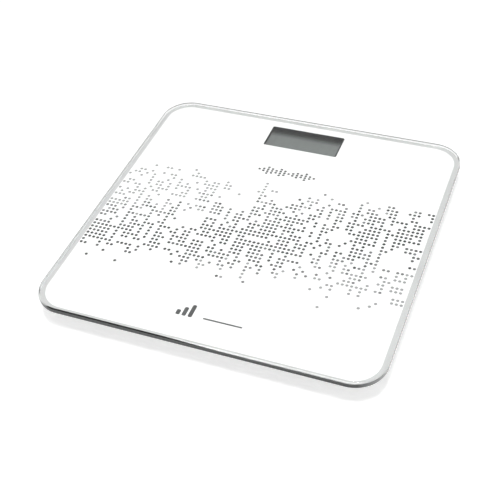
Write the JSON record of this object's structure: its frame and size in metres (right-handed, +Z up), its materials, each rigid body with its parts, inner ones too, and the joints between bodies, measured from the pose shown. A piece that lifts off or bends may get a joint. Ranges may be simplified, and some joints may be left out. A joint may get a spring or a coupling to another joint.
{
  "type": "digital bathroom scale",
  "caption": "Square talking bathroom scale with a clear-edged white glass plate, a recessed display, four load cell feet and an underside battery and speaker module",
  "frame": {"origin": "on the floor under the middle of the glass plate", "axes": "+Z up; +Y towards the edge with the display; +X to the right of someone who stands on the scale and reads it"},
  "size_m": [0.3, 0.3, 0.022],
  "materials": {
    "clear_glass": "polished tempered glass",
    "white_print": "white enamel fired on the glass",
    "white_plastic": "fine moulded texture",
    "grey_plastic": "fine moulded texture",
    "black_plastic": "satin",
    "dark_rubber": "matt",
    "stamped_steel": "zinc plated",
    "nickel_plate": "nickel plated spring steel",
    "lcd_glass": "grey reflective liquid crystal display",
    "circuit_board": "green solder mask",
    "black_epoxy": "moulded epoxy",
    "ferrite": "sintered",
    "speaker_film": "thin formed film",
    "battery_sleeve": "printed sleeve",
    "white_silicone": "soft cured sealant",
    "lead_insulation": "soft wire insulation"
  },
  "bodies": {
    "platform": {"glass_platform": "clear_glass", "back_print": "white_print", "display_housing": "white_plastic", "lower_cover": "white_plastic", "battery_front": "battery_sleeve", "battery_rear": "battery_sleeve", "bridge_contact": "nickel_plate", "positive_contact": "nickel_plate", "negative_contact": "nickel_plate", "lcd_panel": "lcd_glass", "lcd_bezel": "black_plastic", "zebra_strip": "dark_rubber", "main_board": "circuit_board", "processor_blob": "black_epoxy", "speech_chip": "black_epoxy", "crystal": "stamped_steel", "speaker_frame": "stamped_steel", "speaker_magnet": "ferrite", "speaker_cone": "speaker_film", "unit_switch": "black_plastic", "language_switch": "black_plastic", "slide_switch_body": "black_plastic", "battery_lead": "lead_insulation", "speaker_lead": "lead_insulation", "cover_screw_1": "stamped_steel", "cover_screw_2": "stamped_steel", "cover_screw_3": "stamped_steel", "cover_screw_4": "stamped_steel", "cover_screw_5": "stamped_steel", "cover_screw_6": "stamped_steel", "board_screw_1": "stamped_steel", "board_screw_2": "stamped_steel", "foot_frame_front_left": "white_plastic", "load_cell_front_left": "stamped_steel", "strain_gauge_front_left": "white_silicone", "sensor_lead_front_left": "lead_insulation", "foot_frame_front_right": "white_plastic", "load_cell_front_right": "stamped_steel", "strain_gauge_front_right": "white_silicone", "sensor_lead_front_right": "lead_insulation", "foot_frame_rear_left": "white_plastic", "load_cell_rear_left": "stamped_steel", "strain_gauge_rear_left": "white_silicone", "sensor_lead_rear_left": "lead_insulation", "foot_frame_rear_right": "white_plastic", "load_cell_rear_right": "stamped_steel", "strain_gauge_rear_right": "white_silicone", "sensor_lead_rear_right": "lead_insulation"},
    "battery_door": {"battery_door": "white_plastic"},
    "unit_button": {"unit_button": "grey_plastic"},
    "language_button": {"language_button": "grey_plastic"},
    "volume_slider": {"volume_slider": "grey_plastic"},
    "foot_front_left": {"foot_cap_front_left": "grey_plastic", "foot_pad_front_left": "dark_rubber"},
    "foot_front_right": {"foot_cap_front_right": "grey_plastic", "foot_pad_front_right": "dark_rubber"},
    "foot_rear_left": {"foot_cap_rear_left": "grey_plastic", "foot_pad_rear_left": "dark_rubber"},
    "foot_rear_right": {"foot_cap_rear_right": "grey_plastic", "foot_pad_rear_right": "dark_rubber"}
  },
  "joints": [
    {"name": "battery_door_slide", "type": "slide", "parent": "platform", "child": "battery_door", "axis": [0, -1, 0], "range_m": [0, 0.027]},
    {"name": "unit_button_press", "type": "slide", "parent": "platform", "child": "unit_button", "axis": [0, 0, 1], "range_m": [0, 0.0003], "stiffness_N_per_m": 2000, "springref_m": -0.0003},
    {"name": "language_button_press", "type": "slide", "parent": "platform", "child": "language_button", "axis": [0, 0, 1], "range_m": [0, 0.0003], "stiffness_N_per_m": 2000, "springref_m": -0.0003},
    {"name": "volume_slider_slide", "type": "slide", "parent": "platform", "child": "volume_slider", "axis": [1, 0, 0], "range_m": [-0.0025, 0.0025]},
    {"name": "foot_front_left_travel", "type": "slide", "parent": "platform", "child": "foot_front_left", "axis": [0, 0, 1], "range_m": [0, 0.0005], "stiffness_N_per_m": 3000, "springref_m": -0.0014},
    {"name": "foot_front_right_travel", "type": "slide", "parent": "platform", "child": "foot_front_right", "axis": [0, 0, 1], "range_m": [0, 0.0005], "stiffness_N_per_m": 3000, "springref_m": -0.0014},
    {"name": "foot_rear_left_travel", "type": "slide", "parent": "platform", "child": "foot_rear_left", "axis": [0, 0, 1], "range_m": [0, 0.0005], "stiffness_N_per_m": 3000, "springref_m": -0.0014},
    {"name": "foot_rear_right_travel", "type": "slide", "parent": "platform", "child": "foot_rear_right", "axis": [0, 0, 1], "range_m": [0, 0.0005], "stiffness_N_per_m": 3000, "springref_m": -0.0014}
  ]
}
